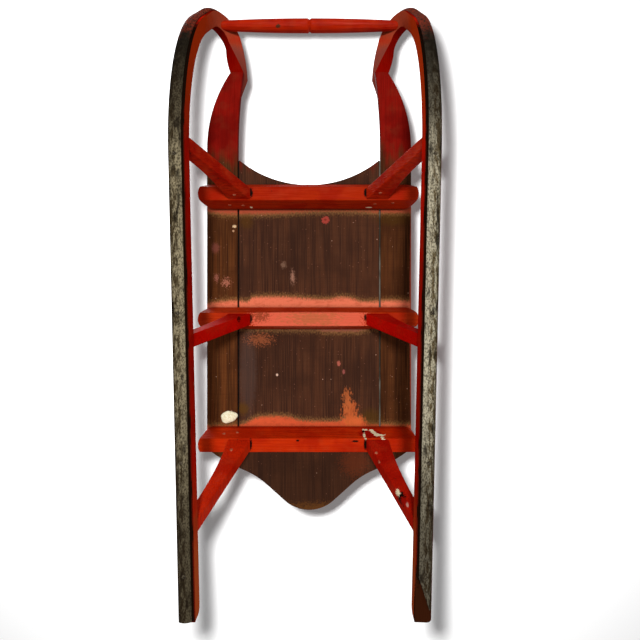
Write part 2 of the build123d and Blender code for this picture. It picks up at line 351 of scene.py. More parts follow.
@dataclass(frozen=True)
class Mark:
    """A spot, chip or worn patch: an ellipsoid on the surface, in millimetres, with its colour.

    Its border wanders by the share ragged of its radii, fades over the share soft, and has tears of a
    given size. Its cover is how dense it is.
    """

    centre: Triple
    radii: Triple
    tone: str
    ragged: float = 0.9
    soft: float = 0.12
    tears: Triple | None = None
    cover: float = 1.0


@dataclass(frozen=True)
class OilPaint:
    """Hardwood brushed with oil paint long ago: satin, streaked along the brush, rubbed bare on its edges.

    The old coat has lost its oil, so it shines far less than fresh paint.
    """

    name: str
    coat: str
    deep: str
    dusty: str
    grain: Axis
    dust: float = 0.3
    wear: float = 0.5
    bare: str = "#7A431F"
    chipped: str = "#3A1A0C"
    rough: float = 0.5
    shine: float = 0.02
    marks: tuple[Mark, ...] = ()
    brush: tuple[float, float] = (2.2, 70.0)

    def material(self) -> bpy.types.Material:
        """Build the paint: clouds of hue, brush streaks, dust, rubbed edges, chips, marks, and dirt with
        painted shade in corners.

        Returns:
            The material.
        """
        s = Surface(self.name)
        colour, height = self.paint(s)
        return s.close(colour, self.rough, height, depth=0.35, soft=1.4, Specular_IOR_Level=self.shine)

    def paint(self, s: Surface) -> tuple[Socket, Socket]:
        """Lay the paint on a surface.

        Args:
            s: surface that takes the nodes.

        Returns:
            Sockets of the colour and of the height.
        """
        across, length = self.brush
        size = [across] * 3
        size[self.grain.value] = length
        streaks = s.blotch(tuple(size), 0.42, 0.62)
        clouds = s.blotch((38.0,) * 3, 0.42, 0.64)
        dust = s.both(s.blotch((16.0,) * 3, 0.45, 0.72, shift=3.0), self.dust)
        rubbed = s.both(s.edges(2.0), s.blotch((7.0,) * 3, 0.62 - 0.2 * self.wear, 0.72, shift=5.0), 0.8)
        gone = 0.735 - 0.03 * self.wear
        chips = s.both(s.blotch((4.5,) * 3, gone, gone + 0.02, shift=9.0), s.blotch((40.0,) * 3, 0.5, 0.6))
        layers = [(s.both(clouds, 0.75), self.deep), (s.both(streaks, 0.45), self.deep), (dust, self.dusty)]
        layers += [(rubbed, self.bare), (chips, self.chipped)]
        layers += s.marked(self.marks)
        # Dirt and painted shade: darker in the corners that are shut in.
        layers += [(s.both(s.shade_and_grime(9.0), 0.85), DIRT_AND_SHADE)]
        worn = s.add("ShaderNodeMath", {0: streaks, 1: chips}, operation="SUBTRACT").outputs[0]
        return s.layered(self.coat, layers), worn


@dataclass(frozen=True)
class RunnerPaint(OilPaint):
    """The runners' oil paint: orange inside the curls and the tails, dusty pink on the crowns and arms.

    Along the soles, beside the iron, the paint is gone and the wood is dark with wet and rust. Each span
    gives where a tone's mask is 0 and where it is 1, along Y or in height.
    """

    soaked: str = "#180C06"
    curl_along: Span = (-150.0, -250.0)
    arm_along: Span = (-388.0, -366.0)
    tail_along: Span = (240.0, 370.0)
    crown_level: Span = (128.0, 176.0)
    hollow_level: Span = (120.0, 150.0)
    foot_level: Span = (110.0, 80.0)
    corner_level: Span = (12.0, 8.0)
    sole_level: Span = (RUNNER_SOLE + 1.6, RUNNER_SOLE + 0.4)
    torn_tail: Mark = Mark((142.0, 428.0, RUNNER_SOLE), (16.0, 48.0, 7.0), "#36180A", 0.9)

    def material(self) -> bpy.types.Material:
        """Lay the paint, then the tones of curls, arms and tails, and the bare wood of the soles.

        Returns:
            The material.
        """
        s = Surface(self.name)
        colour, height = self.paint(s)
        inward = s.turned(-25.0, -70.0)
        curl = s.both(inward, s.torn(s.y, *self.curl_along, 60.0, (24.0,) * 3), 0.85)
        high = s.torn(s.z, *self.crown_level, 30.0, (20.0,) * 3)
        crown = s.both(inward, high, 0.9)
        arm = s.both(inward, high, s.torn(s.y, *self.arm_along, 10.0), 0.9)
        hollow = s.both(s.turned(-55.0, -20.0), s.torn(s.z, *self.hollow_level, 20.0), 0.85)
        tails = s.both(inward, s.torn(s.y, *self.tail_along, 60.0, (30.0,) * 3), 0.8)
        sole = s.torn(s.z, *self.sole_level, 1.4)
        below = s.both(s.facing(DOWN, 0.55, 0.75), s.torn(s.z, *self.foot_level, 30.0))
        broken = s.blotch((6.0, 26.0, 6.0), 0.34, 0.5)
        corner = s.both(s.edges(3.0), s.torn(s.z, *self.corner_level, 4.0), broken)
        layers = [(tails, "#C05A2C"), (curl, "#B0380F"), (hollow, "#740400"), (crown, "#A2432C")]
        layers += [(arm, "#904438"), (below, self.soaked), (sole, self.soaked), (corner, "#7C160A")]
        layers += s.marked((self.torn_tail,))
        colour = s.layered(colour, layers)
        return s.close(colour, self.rough, height, depth=0.35, soft=1.6, Specular_IOR_Level=self.shine)


@dataclass(frozen=True)
class Overspray:
    """Paint that strayed onto the deck beside a cleat: how far it reaches from the edge, along X."""

    edge: float
    ahead: bool
    reach: tuple[tuple[float, float], ...]
    tone: str
    worn: str = "#B0482A"
    rim: str = "#AC7A46"
    cover: float = 0.95

    def masks(self, s: Surface) -> list[Layer]:
        """Sprayed band with a yellowish, broken rim.

        The reach along X is a smooth curve through the table's points, and the band covers the deck where
        the distance from the cleat's edge is less than the reach. It starts 5 mm inside the edge, under the
        cleat.

        Args:
            s: the deck's surface.

        Returns:
            Layers of the rim, of the paint and of its thin places.
        """
        start, stop = self.reach[0][0], self.reach[-1][0]
        far = max(reach for _, reach in self.reach)
        share = s.add("ShaderNodeMapRange", {"Value": s.x, "From Min": start, "From Max": stop}).outputs[0]
        curve = s.add("ShaderNodeFloatCurve", {"Value": share})
        points = curve.mapping.curves[0].points
        for x, reach in self.reach[1:-1]:
            points.new((x - start) / (stop - start), reach / far)
        points[0].location = (0.0, self.reach[0][1] / far)
        points[len(points) - 1].location = (1.0, self.reach[-1][1] / far)
        curve.mapping.update()
        way = -1.0 if self.ahead else 1.0
        ports = {0: s.y, 1: way, 2: -way * self.edge}
        away = s.add("ShaderNodeMath", ports, operation="MULTIPLY_ADD").outputs[0]
        limit = s.add("ShaderNodeMath", {0: curve.outputs[0], 1: far}, operation="MULTIPLY").outputs[0]
        inside = s.add("ShaderNodeMath", {0: limit, 1: away}, operation="SUBTRACT").outputs[0]
        near = s.ramp(away, -6.0, -5.0)
        rim = s.both(s.torn(inside, -9.0, 3.0, 17.0, (1.7, 3.4, 3.0)), near, 0.5)
        band = s.both(s.torn(inside, -2.5, 4.5, 9.0, (1.6, 3.2, 3.0)), near)
        thin = s.both(band, s.blotch((8.0, 4.0, 8.0), 0.46, 0.68, shift=6.0), 0.35)
        return [(rim, self.rim), (s.both(band, self.cover), self.tone), (thin, self.worn)]


@dataclass(frozen=True)
class StainedPine:
    """Sawn pine with an old dark stain below and worn red paint above: dull, with grain along the deck.

    The horns are painted all round. The top is scuffed to the wood where a rider sits, and one side of the
    tail's edge is rubbed pale. Each span gives where a mask is 0 and where it is 1, in millimetres.
    """

    name: str
    dark: str
    mid: str
    pale: str
    sprays: tuple[Overspray, ...]
    marks: tuple[Mark, ...]
    paint: OilPaint
    scuff: str = "#7E4E2C"
    rub: str = "#B8662E"
    lodged_and_shade: str = "#120805"
    horn_along: Span = (HORN_ROOT + 22.0, HORN_ROOT - 22.0)
    seat_along: Span = (-140.0, -60.0)
    tail_along: Span = (296.0, 306.0)
    tail_side: Span = (0.0, 12.0)

    def material(self) -> bpy.types.Material:
        """Build the stained wood, its specks and strays of paint, and the painted top, edges and horns.

        Returns:
            The material.
        """
        s = Surface(self.name)
        fibre = s.blotch((1.5, 90.0, 1.5), 0.36, 0.66, detail=4.0)
        rings = s.blotch((7.0, 240.0, 7.0), 0.42, 0.62, shift=2.0)
        stain = s.blotch((42.0, 60.0, 42.0), 0.42, 0.66, shift=7.0)
        saw = s.blotch((60.0, 1.4, 60.0), 0.5, 0.75, shift=4.0)
        layers = [(rings, self.mid), (s.both(fibre, 0.6), self.pale), (s.both(stain, 0.55), self.dark)]
        layers += [(s.both(saw, 0.3), self.dark)]
        layers += self.specks(s)
        for spray in self.sprays:
            layers += spray.masks(s)
        layers += s.marked(self.marks)
        colour = s.layered(self.dark, layers)
        red, _ = self.paint.paint(s)
        horn = s.torn(s.y, *self.horn_along, 60.0, (9.0, 40.0, 9.0))
        shown = s.facing(DOWN, 0.5, 0.2)
        # Dirt and painted shade darken the boards' shut-in corners.
        shade_and_grime = s.both(s.shade_and_grime(12.0), 0.8)
        rubbed = s.both(s.edges(2.4), s.ramp(s.y, *self.tail_along), s.ramp(s.x, *self.tail_side), 0.85)
        seat = s.torn(s.y, *self.seat_along, 90.0, (20.0, 60.0, 20.0))
        strokes = s.blotch((3.0, 80.0, 3.0), 0.50, 0.60, shift=12.0)
        scuffed = s.both(s.facing(UP), seat, strokes, 0.75)
        layers = [(horn, red), (shown, red), (scuffed, self.scuff), (rubbed, self.rub), (shade_and_grime, self.lodged_and_shade)]
        colour = s.layered(colour, layers)
        height = s.both(fibre, 0.8)
        return s.close(colour, rough=0.62, height=height, depth=0.3, soft=1.2, Specular_IOR_Level=0.03)

    def specks(self, s: Surface) -> list[Layer]:
        """Flicked paint: dots round scattered points, kept in a few cells of the scatter.

        Args:
            s: the deck's surface.

        Returns:
            Layers of the small and of the larger dots.
        """
        layers = []
        for spacing, size, kept, tone in ((4.6, 0.55, 0.72, "#9C6650"), (12.0, 0.75, 0.74, "#D8A88E")):
            scatter = s.add("ShaderNodeTexVoronoi", {"Vector": s.place, "Scale": 1 / spacing})
            chance = s.add("ShaderNodeSeparateColor", {0: scatter.outputs["Color"]}).outputs[0]
            dots = s.ramp(scatter.outputs["Distance"], size / spacing * 1.3, size / spacing * 0.7)
            picked = s.add("ShaderNodeMath", {0: chance, 1: kept}, operation="GREATER_THAN").outputs[0]
            layers.append((s.both(dots, picked, 0.7), tone))
        return layers


@dataclass(frozen=True)
class WroughtIron:
    """Half-oval iron strap scoured by ice: olive grey, pitted and rusty, with painted light on its inner
    slope and painted shade on its outer slope.

    Where the strap climbs the curls it was never scoured, so it is black with flakes of old paint. Each span
    gives where a tone's mask is 0 and where it is 1, along Y or in height.
    """

    name: str
    light: str
    mid: str
    dark: str = "#1E150C"
    black: str = "#130E09"
    paint: str = "#8A3420"
    tail_along: Span = (110.0, 330.0)
    raised_along: Span = (-110.0, -230.0)
    scorched_level: Span = (6.0, 40.0)
    crown_level: Span = (48.0, 90.0)

    def material(self) -> bpy.types.Material:
        """Build the metal; its pits are drawn over 1 mm wide, coarser than real, so that they show.

        Returns:
            The material.
        """
        s = Surface(self.name)
        mottle = s.blotch((3.4, 15.0, 3.4), 0.42, 0.60)
        pits = s.blotch((1.3, 2.8, 1.3), 0.46, 0.60, detail=5.0, shift=3.0)
        rust = s.blotch((8.0, 30.0, 8.0), 0.54, 0.70, shift=8.0)
        # Painted light on the slope that looks to the middle line, and painted shade on the outer slope.
        inner = s.both(s.turned(0.0, -50.0), 0.75)
        outer = s.both(s.turned(35.0, 95.0), 0.8)
        tail = s.both(s.torn(s.y, *self.tail_along, 90.0, (12.0, 40.0, 12.0)), 0.78)
        raised = s.both(s.torn(s.y, *self.raised_along, 70.0, (12.0, 40.0, 12.0)), 0.82)
        scorched = s.both(s.torn(s.z, *self.scorched_level, 24.0, (14.0,) * 3), 0.8)
        crown = s.torn(s.z, *self.crown_level, 30.0, (14.0,) * 3)
        flakes = s.both(crown, s.blotch((2.6, 4.5, 2.6), 0.40, 0.54, detail=4.0, shift=5.0))
        layers = [(s.both(mottle, 0.8), self.light), (inner, self.light), (outer, self.dark)]
        layers += [(s.both(pits, 0.7), self.dark), (s.both(rust, 0.85), self.black), (tail, self.dark)]
        layers += [(raised, self.dark), (scorched, self.black), (s.both(flakes, 0.95), self.paint)]
        layers += [(s.both(s.edges(1.0), 0.35), self.black)]
        colour = s.layered(self.mid, layers)
        return s.close(colour, rough=0.55, height=pits, depth=0.25, soft=1.0, Specular_IOR_Level=0.02)


@dataclass(frozen=True)
class Mottled:
    """A small piece's finish: one colour mottled with another over a fine grit."""

    name: str
    tone: str
    mottled: str
    grit: float
    rough: float
    metallic: float = 0.0

    def material(self) -> bpy.types.Material:
        """Build the mottled finish.

        Returns:
            The material.
        """
        s = Surface(self.name)
        clouds = s.blotch((self.grit,) * 3, 0.42, 0.62)
        colour = s.layered(self.tone, [(clouds, self.mottled)])
        shine = {"Metallic": self.metallic, "Specular_IOR_Level": 0.15}
        return s.close(colour, self.rough, clouds, depth=0.3, soft=0.4, **shine)


def grid_mesh(name: str, points: np.ndarray, finish: bpy.types.Material) -> bpy.types.Object:
    """Make one mesh of several surfaces, each a grid of points closed round its second direction.

    Args:
        name: piece name.
        points: millimetres, shaped (surfaces, rows, columns, 3).
        finish: material of the piece.

    Returns:
        The object, at the origin, with coincident points of its poles merged.
    """
    count, rows, columns, _ = points.shape
    index = np.arange(count * rows * columns).reshape(count, rows, columns)
    turned = np.roll(index, -1, axis=2)
    quads = np.stack([index[:, :-1], turned[:, :-1], turned[:, 1:], index[:, 1:]], axis=-1)
    mesh = bpy.data.meshes.new(name)
    mesh.from_pydata((points.reshape(-1, 3) * MM).tolist(), [], quads.reshape(-1, 4).tolist())
    shape = bmesh.new()
    shape.from_mesh(mesh)
    bmesh.ops.remove_doubles(shape, verts=shape.verts, dist=MERGE_WITHIN)
    bmesh.ops.recalc_face_normals(shape, faces=shape.faces)
    shape.to_mesh(mesh)
    shape.free()
    mesh.shade_smooth()
    mesh.materials.append(finish)
    piece = bpy.data.objects.new(name, mesh)
    bpy.context.scene.collection.objects.link(piece)
    return piece


def keep(piece: bpy.types.Object) -> None:
    """Fix a new piece to the sled and report it.

    Args:
        piece: the new piece.
    """
    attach(piece, "root")
    log.info("%s: %d faces", piece.name, len(piece.data.polygons))


def dress(nodes: Nodes, finishes: dict[str, OilPaint | StainedPine | WroughtIron]) -> None:
    """Give solids their finishes, making each finish once.

    Args:
        nodes: the solids' objects by name.
        finishes: finish of each solid, by the solid's name.
    """
    made = {}
    for name, finish in finishes.items():
        if finish.name not in made:
            made[finish.name] = finish.material()
        nodes[name].data.materials.clear()
        nodes[name].data.materials.append(made[finish.name])
        log.info("%s: %s", name, finish.name)


@dataclass
class Deck:
    """Three boards and the cleats that carry them, with dirt in one seam, dust and painted shadow in the
    other, and a dab of putty.
    """

    nodes: Nodes
    putty_centre: tuple[float, float] = (-126.0, 219.5)
    putty_radii: tuple[float, float] = (12.4, 9.8)
    putty_depth: float = 2.6
    strip_recess: float = 1.4
    # The rear cleat's front face: its height at a row of the picture, and its fall from one row to the next
    face_row: float = 433.7
    face_level: float = 142.0
    face_fall: float = 2.4

    def sprays(self) -> tuple[Overspray, ...]:
        """Paint that strayed from the cleats' edges, as X and reach in millimetres from -X to +X.

        Returns:
            One overspray for each edge that has it.
        """
        behind_front = (
            (-160, 2), (-145, 6), (-112, 8), (-60, 7), (-20, 5), (25, 3), (70, 3), (120, 6), (160, 6),
        )
        ahead_middle = (
            (-160, 6), (-140, 9), (-112, 11), (-100, 9), (-88, 16), (-45, 17), (0, 14), (30, 13), (50, 16),
            (68, 14), (90, 9), (130, 11), (160, 8),
        )
        behind_middle = ((-85, 0), (-60, 1), (10, 2), (30, 5), (70, 5), (85, 3), (98, 0))
        ahead_rear = (
            (-160, 1), (-115, 2), (-95, 8), (-75, 15), (-55, 16), (-35, 15), (-15, 10), (10, 8), (45, 8),
            (60, 12), (85, 10), (92, 5), (115, 3), (160, 2),
        )
        return (
            Overspray(FRONT_CLEAT_REAR, False, behind_front, "#BC4C36", cover=0.8),
            Overspray(MIDDLE_CLEAT_FRONT, True, ahead_middle, "#EE7C5A"),
            Overspray(MIDDLE_CLEAT_REAR, False, behind_middle, "#A85A4E", cover=0.75),
            Overspray(REAR_CLEAT_FRONT, True, ahead_rear, "#DE5A34"),
        )

    def marks(self) -> tuple[Mark, ...]:
        """Spots, scrapes and stains on the boards' underside.

        Returns:
            The marks, from the lowest up.
        """
        rows = (
            # X, Y, radius along X, radius along Y, colour, ragged, soft, cover
            (-96.0, 150.0, 12.5, 66.0, "#52403A", 0.6, 0.4, 0.45),
            (25.8, -89.8, 6.0, 5.8, "#B04438", 0.8, 0.12, 0.85),
            (25.4, -90.4, 2.2, 1.8, "#7C2C20", 0.8, 0.3, 0.8),
            (46.5, 135.8, 2.6, 4.0, "#C06452", 1.2, 0.3, 0.8),
            (54.4, 148.6, 2.2, 3.4, "#A4564E", 1.2, 0.3, 0.8),
            (-50.2, 153.4, 1.8, 2.0, "#E8C0A8", 0.6, 0.2, 0.9),
            (97.0, 222.0, 15.0, 14.0, "#54380E", 1.0, 0.6, 0.6),
            (-77.0, 98.0, 16.0, 7.5, "#A85A36", 3.8, 0.5, 0.6),
            (-103.5, 207.0, 8.0, 9.0, "#5E3C10", 1.2, 0.6, 0.7),
            (-99.0, -88.0, 10.0, 11.0, "#56360E", 1.0, 0.6, 0.6),
            (132.0, -91.0, 24.0, 9.0, "#4C300C", 1.0, 0.6, 0.6),
            (-26.0, -0.3, 2.6, 8.0, "#B8846C", 4.4, 0.3, 0.7),
            (-40.0, -19.0, 3.8, 4.5, "#84624E", 1.8, 0.5, 0.7),
            (-147.0, -45.8, 5.5, 7.5, "#8A4A3E", 1.2, 0.5, 0.6),
            (-117.2, -79.6, 3.2, 2.0, "#EAC698", 1.8, 0.15, 0.9),
            (-119.0, -72.5, 1.6, 1.6, "#D8A880", 1.0, 0.2, 0.7),
            (-145.6, 1.6, 3.0, 5.0, "#B06A58", 4.4, 0.3, 0.7),
            (-130.0, 8.0, 4.6, 5.6, "#B87058", 4.6, 0.3, 0.75),
            (160.8, 60.0, 2.6, 172.0, "#B04A38", 0.8, 0.2, 0.9),
            (0.0, 335.0, 130.0, 62.0, "#2A180E", 0.5, 0.5, 0.5),
            (18.0, 364.0, 60.0, 9.0, "#7A4A1C", 2.4, 0.6, 0.45),
            (72.0, 290.0, 20.0, 22.0, "#7A3418", 2.0, 0.6, 0.4),
        )
        z = DECK_UNDERSIDE
        deep = 6.0
        flat = [Mark((x, y, z), (a, b, deep), *look, None, cover) for x, y, a, b, *look, cover in rows]
        licks = (2.2, 5.0, deep)
        flame = [
            Mark((69.0, 229.0, z), (16.0, 13.0, deep), "#D86634", 1.4, 0.4, licks, 0.9),
            Mark((64.0, 212.0, z), (10.0, 15.0, deep), "#C86030", 2.4, 0.5, licks, 0.8),
            Mark((59.0, 194.0, z), (6.0, 15.0, deep), "#C06434", 3.0, 0.5, licks, 0.75),
        ]
        return tuple(flat + flame)

    def flaked(self) -> tuple[Mark, ...]:
        """Paint flaked off the rear cleat's front face to the cream filler, by pixels of the picture.

        The face's height at a pixel's row is face_level - face_fall * (row - face_row), and the camera's ray
        through the pixel gives X and Y at that height.

        Returns:
            The marks, from the lowest up, with the dark chips of the same cleat and painted shade beside the
            knees' ends.
        """
        rows = (
            # pixel across, pixel down, radius along X, radius across the face
            (364.5, 429.9, 4.6, 1.7), (364.4, 435.2, 1.8, 4.4), (365.8, 439.0, 1.4, 2.0),
            (371.2, 430.4, 3.2, 2.0), (373.6, 432.4, 3.6, 2.6), (376.4, 434.6, 4.2, 2.4),
            (381.0, 435.2, 5.4, 1.6), (382.4, 437.6, 2.6, 2.4), (384.4, 439.8, 2.6, 1.8),
            (379.5, 441.0, 7.0, 1.0), (368.5, 440.8, 4.0, 0.9),
        )
        marks = [Mark((94.0, 238.0, self.face_level), (17.5, 9.0, 11.0), "#A00E02", 0.6)]
        steep = 1.6
        flakes = (3.4, 2.2, 3.0)
        for across, down, wide, high in rows:
            level = self.face_level - self.face_fall * (down - self.face_row)
            depth = (level - STAND.z) / FOCAL
            x = (across - PRINCIPAL[0]) * depth + STAND.x
            y = (down - PRINCIPAL[1]) * depth + STAND.y
            marks.append(Mark((x, y, level), (wide, high, steep * high), CREAM, 1.5, 0.12, flakes))
        marks += [
            Mark((84.0, 236.5, 147.0), (2.4, 2.0, 4.0), DARK_CHIP_AND_SHADE, 1.2),
            Mark((70.0, 246.5, 130.0), (5.0, 1.4, 2.0), DARK_CHIP_AND_SHADE, 1.4),
            Mark((-16.0, 245.5, 130.0), (2.2, 1.4, 2.0), DARK_CHIP_AND_SHADE, 1.2),
            # Painted shade on the rear cleat beside the ends of the rear knees.
            Mark((-86.5, 251.0, 130.0), (2.2, 8.0, 4.0), DARK_CHIP_AND_SHADE, 1.2, 0.3),
            Mark((85.5, 251.0, 130.0), (2.4, 8.0, 4.0), DARK_CHIP_AND_SHADE, 1.2, 0.3),
        ]
        return tuple(marks)

    def dress(self) -> None:
        """Stain the boards and paint the cleats."""
        horn = OilPaint("horn", "#880E04", "#680400", "#7A2A16", Axis.Y, wear=0.8)
        shared = {"sprays": self.sprays(), "marks": self.marks(), "paint": horn}
        worn_through = (
            Mark((0.0, 64.0, 129.0), (88.0, 60.0, 5.0), SALMON, 0.5, 0.05),
            Mark((6.0, 63.0, 129.0), (38.0, 9.0, 4.0), "#B4663A", 2.6, 0.5, (5.0, 2.0, 4.0), 0.65),
            Mark((-72.0, 59.0, 129.0), (12.0, 7.0, 4.0), "#8A3A1C", 3.0, 0.5, (1.4, 3.0, 3.0), 0.8),
            Mark((0.0, 83.0, 137.0), (88.0, 9.0, 14.0), "#CC563A", 0.5, 0.1),
            # Painted shade on the middle cleat beside the ends of the middle knees.
            Mark((-86.5, 63.0, 130.0), (2.6, 6.5, 4.0), "#3A1408", 1.2, 0.3),
            Mark((85.5, 61.0, 130.0), (1.8, 5.0, 4.0), "#3A1408", 1.2, 0.3),
        )
        struck = (
            Mark((92.8, -107.6, 152.6), (5.0, 3.0, 1.6), CREAM, 0.6),
            Mark((-88.9, -107.6, 152.6), (2.0, 3.0, 2.6), CREAM, 1.6),
            Mark((-100.4, -109.6, 146.6), (3.0, 3.0, 1.0), "#C07868", 0.8),
            # Painted shade on the front cleat beside the ends of the front knees.
            Mark((-86.5, -126.0, 130.0), (3.2, 7.0, 4.0), DARK_CHIP_AND_SHADE, 1.2, 0.3),
            Mark((86.0, -126.0, 130.0), (2.6, 6.5, 4.0), DARK_CHIP_AND_SHADE, 1.2, 0.3),
        )
        pale = {"bare": "#B86A40"}
        dress(self.nodes, {
            "deck_board_right": StainedPine(
                "stained_pine_right", "#3E1F0E", "#5C2F15", "#744420", **shared
            ),
            "deck_board_left": StainedPine(
                "stained_pine_left", "#34190B", "#502A14", "#643A1C", **shared
            ),
            "deck_board_centre": StainedPine(
                "stained_pine_centre", "#382016", "#4C2B1B", "#603A26", **shared
            ),
            "cleat_front": OilPaint(
                "oil_paint_front_cleat", "#B42A06", "#A01802", "#B4381A", Axis.X, marks=struck, **pale
            ),
            "cleat_middle": OilPaint(
                "oil_paint_middle_cleat", "#BE340C", "#A62006", "#BC4A26", Axis.X, marks=worn_through, **pale
            ),
            "cleat_rear": OilPaint(
                "oil_paint_rear_cleat", "#C82E04", "#AE1C02", "#C03C16", Axis.X, marks=self.flaked(), **pale
            ),
        })

    def putty(self, finish: bpy.types.Material) -> bpy.types.Object:
        """Dab of putty under a side board: an uneven oval with a flattened dome.

        At an angle t the rim lies at the ellipse's point times 1 plus three small cosines of t. At a share s
        of the way out to the rim the dab is depth * (1 - s^5) thick, with low waves on it.

        Args:
            finish: material of the dab.

        Returns:
            The piece.
        """
        turn = np.linspace(0.0, 2 * math.pi, 56, endpoint=False)
        out = np.concatenate([np.linspace(0.0, 1.0, 14), [1.0, 0.0]])[:, None]
        # Share of the radius, lobes round the rim and phase of each cosine
        lobes = ((0.09, 2, 1.1), (0.06, 3, 0.4), (0.04, 5, 2.0))
        uneven = 1 + sum(share * np.cos(count * turn + phase) for share, count, phase in lobes)
        x = self.putty_centre[0] + out * self.putty_radii[0] * uneven * np.cos(turn)
        y = self.putty_centre[1] + out * self.putty_radii[1] * uneven * np.sin(turn)
        waves = 1 + 0.12 * np.sin(0.9 * x) * np.sin(1.1 * y + 0.6)
        z = DECK_UNDERSIDE - self.putty_depth * (1 - out**5) * waves
        z[-2:] = DECK_UNDERSIDE + 0.2
        return grid_mesh("putty_dab", np.stack([x, y, z], axis=-1)[None], finish)

    def seam_strip(self, name: str, side: float, finish: bpy.types.Material) -> bpy.types.Object:
        """Strip packed in a seam beside the centre board, whose lower face dips and waves along Y: dirt at
        -X, and at +X grey dust that also paints the shadow seen through the seam.

        The section is a box as wide as the seam. Its lower side lies recess + waves(y) above the underside.

        Args:
            name: piece name.
            side: 1 for the seam at -X, -1 for the one at +X.
            finish: material of the strip.

        Returns:
            The piece.
        """
        y = np.concatenate([[SEAM_ENDS[0]], np.linspace(*SEAM_ENDS, 120), [SEAM_ENDS[1]]])
        waves = 0.5 * np.sin(0.11 * y) + 0.35 * np.sin(0.37 * y + 1.0)
        low = DECK_UNDERSIDE + self.strip_recess + waves
        top = np.full_like(y, DECK_TOP - self.strip_recess)
        near, far = (np.full_like(y, side * x) for x in SEAM)
        x = np.stack([near, far, far, near], axis=1)
        z = np.stack([low, low, top, top], axis=1)
        points = np.stack([x, np.repeat(y[:, None], 4, axis=1), z], axis=-1)
        points[[0, -1]] = points[[0, -1]].mean(axis=1, keepdims=True)
        return grid_mesh(name, points[None], finish)

    def build(self) -> None:
        """Add the putty, the dirt, and the grey strip of dust and painted shadow."""
        keep(self.putty(Mottled("putty", "#FFFADA", "#F0E6BC", 2.4, 0.8).material()))
        dirt = Mottled("packed_dirt", "#100906", "#1C110B", 5.0, 0.95).material()
        # Grey dust in the seam at +X, which also paints the shadow seen through the seam.
        dust = Mottled("packed_dust_and_shadow", "#3A362C", "#7C786C", 70.0, 0.95).material()
        keep(self.seam_strip("seam_strip", 1.0, dirt))
        keep(self.seam_strip("seam_dust_and_shadow", -1.0, dust))


@dataclass
class Knees:
    """Six splayed knees between the cleats and the runners."""

    nodes: Nodes

    def dress(self) -> None:
        """Paint the knees, in the reds that light and wear left them; the two rear ones differ."""
        gouge = (
            Mark((127.5, 297.6, 50.5), (5.6, 7.5, 10.5), DARK_CHIP_AND_SHADE, 1.4, 0.15),
            Mark((129.5, 299.5, 47.5), (4.0, 5.0, 7.0), "#960E04", 1.4, 0.2),
            Mark((123.2, 292.6, 58.0), (3.0, 4.2, 5.5), CREAM, 2.0, 0.12),
            Mark((133.6, 302.4, 43.0), (1.6, 3.0, 3.5), "#C89080", 2.0, 0.15),
        )
        scratched = (Mark((-99.5, 61.7, 107.4), (2.4, 3.4, 7.0), "#4A0602", 3.4, 0.2, (1.2, 3.0, 5.0)),)
        # Saw marks across the front knees lie about 2 mm apart.
        front = OilPaint("oil_paint_front_knees", "#B02408", "#920C02", "#B84020", Axis.Y, brush=(9.0, 1.8))
        middle = OilPaint(
            "oil_paint_middle_knees", "#C00A02", "#A60400", "#AA3016", Axis.X, dust=0.2, marks=scratched
        )
        rear = OilPaint("oil_paint_rear_right_knee", "#C02404", "#A01402", "#B4381A", Axis.Y, dust=0.25)
        darker = OilPaint(
            "oil_paint_rear_left_knee", "#AC1604", "#900A02", "#AC3218", Axis.Y, dust=0.25, marks=gouge
        )
        dress(self.nodes, {
            "knee_front_left": front,
            "knee_front_right": front,
            "knee_middle_left": middle,
            "knee_middle_right": middle,
            "knee_rear_left": darker,
            "knee_rear_right": rear,
        })


@dataclass
class Runners:
    """The two bent runners, their iron shoes and the turned bar between the crowns."""

    nodes: Nodes

    def dress(self) -> None:
        """Paint the wood, and weather the iron."""
        ends = (-150.0, 150.0)
        joints = tuple(Mark((x, -409.0, 192.0), (26.0, 15.0, 20.0), "#AE1804", 0.4, 0.4) for x in ends)
        bent = RunnerPaint(
            "oil_paint_runners", "#D01C08", "#AA0A02", "#A83C20", Axis.Y, wear=0.6, rough=0.8, shine=0.0,
            marks=joints,
        )
        chips = (
            Mark((-50.5, -404.0, 183.0), (3.5, 3.0, 3.0), "#5A2A14", 1.4),
            Mark((103.0, -418.0, 187.0), (3.0, 2.0, 3.0), "#D8B088", 1.4),
        )
        bar = OilPaint(
            "oil_paint_bar", "#BC2402", "#A01200", "#B43E1C", Axis.X, dust=0.2, wear=0.3, rough=0.4,
            shine=0.05, marks=chips,
        )
        dress(self.nodes, {
            "cross_bar": bar,
            "runner_left": bent,
            "runner_right": bent,
            "shoe_left": WroughtIron("wrought_iron_left", "#CCC2A6", "#6A5C42"),
            "shoe_right": WroughtIron("wrought_iron_right", "#A89A7A", "#50442E"),
        })


